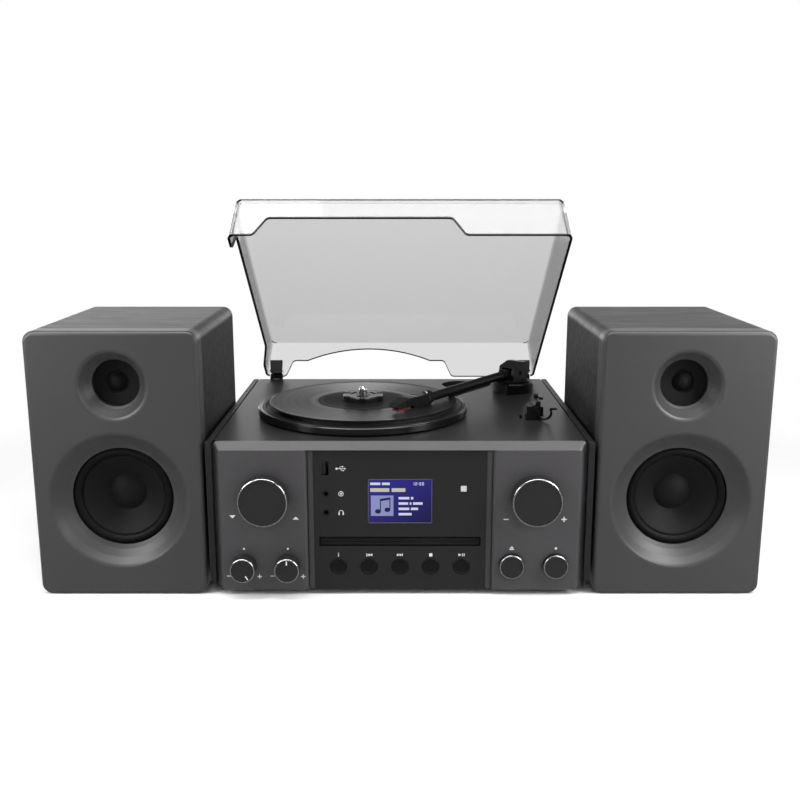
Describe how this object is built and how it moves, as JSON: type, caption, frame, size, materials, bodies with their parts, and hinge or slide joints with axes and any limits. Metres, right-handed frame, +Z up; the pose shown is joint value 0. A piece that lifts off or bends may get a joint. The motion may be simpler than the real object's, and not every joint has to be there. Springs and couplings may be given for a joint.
{
  "type": "stereo music centre",
  "caption": "Compact stereo system: record player under a hinged smoked cover, disc slot, display, knobs and buttons, with free-standing two-way speakers",
  "frame": {"origin": "middle of the outer box, at the base, with the cover open as in the picture and the speakers beside the unit", "axes": "+Z up; +X to the right seen from the front; +Y from the fascia to the back"},
  "size_m": [0.6148, 0.3132, 0.3316],
  "materials": {
    "housing": "satin moulded ABS",
    "board": "black ash foil on board",
    "deck": "satin dark grey ABS",
    "fascia": "brushed grey metallic paint",
    "panel": "high gloss black",
    "screen": "colour display behind a window",
    "window": "translucent infrared window",
    "steel": "nickelled steel",
    "black": "black nylon",
    "drive": "zinc plated sheet",
    "boards": "glass fibre circuit board",
    "clear": "smoked clear acrylic",
    "brass": "turned brass",
    "rubber": "black rubber",
    "platter": "black moulded platter with rubber mat",
    "vinyl": "pressed vinyl",
    "adapter": "black moulded adapter",
    "arm": "satin black moulding",
    "red": "dark red stylus holder",
    "knob": "dark satin with a bright edge",
    "key": "gloss black with a fine grey edge",
    "cabinet": "black ash veneer",
    "baffle": "satin anthracite",
    "cone": "black pulp cone",
    "tweeter": "black dome and plate"
  },
  "bodies": {
    "unit": {"bottom_tray": "housing", "rear_panel": "housing", "side_boards": "board", "deck_plate": "deck", "fascia_frame": "fascia", "centre_panel": "panel", "display_screen": "screen", "remote_window": "window", "usb_socket": "steel", "audio_jacks": "black", "disc_drive": "drive", "circuit_boards": "boards", "control_board": "boards", "rear_sockets": "black", "power_inlet": "black", "hinge_brackets": "black", "platter_drive": "brass", "drive_belt": "rubber", "arm_base": "arm", "arm_rest": "black"},
    "cover": {"cover": "clear", "cover_hinges": "black"},
    "platter": {"platter": "platter", "spindle": "steel", "record": "vinyl", "record_adapter": "adapter"},
    "pulley": {"motor_pulley": "brass"},
    "arm_turret": {"arm_turret": "arm"},
    "tone_arm": {"arm_tube": "arm", "headshell": "arm", "cartridge": "red"},
    "arm_clip": {"arm_clip": "black"},
    "lift_lever": {"lift_lever": "black"},
    "lift_platform": {"lift_platform": "black"},
    "speed_slider": {"speed_slider": "black"},
    "select_plunger": {"select_plunger": "steel"},
    "select_knob": {"select_knob": "knob"},
    "volume_plunger": {"volume_plunger": "steel"},
    "volume_knob": {"volume_knob": "knob"},
    "bass_knob": {"bass_knob": "knob"},
    "treble_knob": {"treble_knob": "knob"},
    "eject_button": {"eject_button": "knob"},
    "record_button": {"record_button": "knob"},
    "info_button": {"info_button": "key"},
    "previous_button": {"previous_button": "key"},
    "next_button": {"next_button": "key"},
    "stop_button": {"stop_button": "key"},
    "play_button": {"play_button": "key"},
    "speaker_left": {"speaker_cabinet_left": "cabinet", "speaker_baffle_left": "baffle", "woofer_frame_left": "rubber", "tweeter_left": "tweeter", "speaker_socket_left": "black"},
    "cone_left": {"woofer_cone_left": "cone"},
    "speaker_right": {"speaker_cabinet_right": "cabinet", "speaker_baffle_right": "baffle", "woofer_frame_right": "rubber", "tweeter_right": "tweeter", "speaker_socket_right": "black"},
    "cone_right": {"woofer_cone_right": "cone"}
  },
  "joints": [
    {"name": "cover_hinge", "type": "hinge", "parent": "unit", "child": "cover", "pos_m": [0, 0.13724, 0.137], "axis": [1, 0, 0], "range_deg": [0, 37.3]},
    {"name": "platter_spin", "type": "hinge", "parent": "unit", "child": "platter", "pos_m": [-0.0348, -0.02756, 0.1345], "axis": [0, 0, 1], "continuous": true},
    {"name": "pulley_spin", "type": "hinge", "parent": "unit", "child": "pulley", "pos_m": [-0.08237, 0.02913, 0.1295], "axis": [0, 0, 1], "continuous": true},
    {"name": "arm_swing", "type": "hinge", "parent": "unit", "child": "arm_turret", "pos_m": [0.118, 0.07194, 0.1445], "axis": [0, 0, 1], "range_deg": [-5, 38.6]},
    {"name": "arm_lift", "type": "hinge", "parent": "arm_turret", "child": "tone_arm", "pos_m": [0.118, 0.07194, 0.1541], "axis": [-0.7859, 0.6184, 0], "range_deg": [0, 3.5]},
    {"name": "cue_lever_turn", "type": "hinge", "parent": "unit", "child": "lift_lever", "pos_m": [0.12599, -0.04206, 0.14], "axis": [-1, 0, 0], "range_deg": [0, 50]},
    {"name": "lift_platform_rise", "type": "slide", "parent": "unit", "child": "lift_platform", "axis": [0, 0, 1], "range_m": [0, 0.00159]},
    {"name": "arm_clip_turn", "type": "hinge", "parent": "unit", "child": "arm_clip", "pos_m": [0.12329, -0.06456, 0.1447], "axis": [0, 1, 0], "range_deg": [-140, 0]},
    {"name": "speed_select", "type": "slide", "parent": "unit", "child": "speed_slider", "axis": [0, 1, 0], "range_m": [-0.004, 0.004]},
    {"name": "select_push", "type": "slide", "parent": "unit", "child": "select_plunger", "axis": [0, 1, 0], "range_m": [0, 0.001], "stiffness_N_per_m": 500, "springref_m": -0.001},
    {"name": "select_turn", "type": "hinge", "parent": "select_plunger", "child": "select_knob", "pos_m": [-0.114, -0.14306, 0.0862], "axis": [0, 1, 0], "continuous": true},
    {"name": "volume_push", "type": "slide", "parent": "unit", "child": "volume_plunger", "axis": [0, 1, 0], "range_m": [0, 0.001], "stiffness_N_per_m": 500, "springref_m": -0.001},
    {"name": "volume_turn", "type": "hinge", "parent": "volume_plunger", "child": "volume_knob", "pos_m": [0.114, -0.14306, 0.0862], "axis": [0, 1, 0], "continuous": true},
    {"name": "bass_turn", "type": "hinge", "parent": "unit", "child": "bass_knob", "pos_m": [-0.1325, -0.14306, 0.0266], "axis": [0, 1, 0], "range_deg": [-300, 0]},
    {"name": "treble_turn", "type": "hinge", "parent": "unit", "child": "treble_knob", "pos_m": [-0.0952, -0.14306, 0.0266], "axis": [0, 1, 0], "range_deg": [-150, 150]},
    {"name": "eject_push", "type": "slide", "parent": "unit", "child": "eject_button", "axis": [0, 1, 0], "range_m": [0, 0.0012], "stiffness_N_per_m": 300, "springref_m": -0.001},
    {"name": "record_push", "type": "slide", "parent": "unit", "child": "record_button", "axis": [0, 1, 0], "range_m": [0, 0.0012], "stiffness_N_per_m": 300, "springref_m": -0.001},
    {"name": "info_push", "type": "slide", "parent": "unit", "child": "info_button", "axis": [0, 1, 0], "range_m": [0, 0.0012], "stiffness_N_per_m": 300, "springref_m": -0.001},
    {"name": "previous_push", "type": "slide", "parent": "unit", "child": "previous_button", "axis": [0, 1, 0], "range_m": [0, 0.0012], "stiffness_N_per_m": 300, "springref_m": -0.001},
    {"name": "next_push", "type": "slide", "parent": "unit", "child": "next_button", "axis": [0, 1, 0], "range_m": [0, 0.0012], "stiffness_N_per_m": 300, "springref_m": -0.001},
    {"name": "stop_push", "type": "slide", "parent": "unit", "child": "stop_button", "axis": [0, 1, 0], "range_m": [0, 0.0012], "stiffness_N_per_m": 300, "springref_m": -0.001},
    {"name": "play_push", "type": "slide", "parent": "unit", "child": "play_button", "axis": [0, 1, 0], "range_m": [0, 0.0012], "stiffness_N_per_m": 300, "springref_m": -0.001},
    {"name": "speaker_left_place", "type": "slide", "parent": "unit", "child": "speaker_left", "axis": [-1, 0, 0], "range_m": [0, 0.4]},
    {"name": "cone_left_travel", "type": "slide", "parent": "speaker_left", "child": "cone_left", "axis": [0, 1, 0], "range_m": [-0.002, 0.002], "stiffness_N_per_m": 900},
    {"name": "speaker_right_place", "type": "slide", "parent": "unit", "child": "speaker_right", "axis": [1, 0, 0], "range_m": [0, 0.4]},
    {"name": "cone_right_travel", "type": "slide", "parent": "speaker_right", "child": "cone_right", "axis": [0, 1, 0], "range_m": [-0.002, 0.002], "stiffness_N_per_m": 900}
  ],
  "couplings": [
    {"joint": "pulley_spin", "follows": "platter_spin", "ratio": 10},
    {"joint": "cue_lever_turn", "follows": "arm_lift", "ratio": 14.286},
    {"joint": "lift_platform_rise", "follows": "arm_lift", "m_per_rad": 0.025979}
  ]
}
